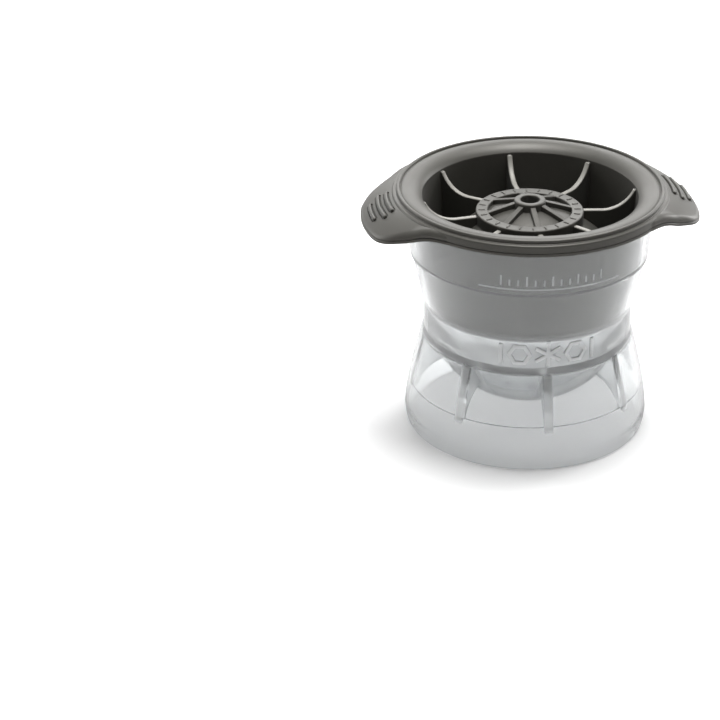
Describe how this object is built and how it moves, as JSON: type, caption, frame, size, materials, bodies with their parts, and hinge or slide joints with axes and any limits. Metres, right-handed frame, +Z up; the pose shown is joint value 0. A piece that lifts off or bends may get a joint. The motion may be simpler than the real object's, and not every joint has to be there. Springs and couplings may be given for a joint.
{
  "type": "ice ball mold",
  "caption": "Hourglass ice ball mold: clear plastic base with a bowl held in a ribbed skirt, and a dark silicone cap with a domed plug, vent hole and finger tabs.",
  "frame": {"origin": "middle of the flat foot, on the surface it stands on", "axes": "+Z up along the axis of the ball, +X along the line through both finger tabs, the marked front of the base faces -Y"},
  "size_m": [0.113, 0.0922, 0.0854],
  "materials": {
    "clear_plastic": "clear, slightly milky",
    "silicone": "matte"
  },
  "bodies": {
    "base": {"base": "clear_plastic"},
    "cap": {"cap": "silicone"}
  },
  "joints": [
    {"name": "cap_lift", "type": "slide", "parent": "base", "child": "cap", "axis": [0, 0, 1], "range_m": [0, 0.052]}
  ]
}
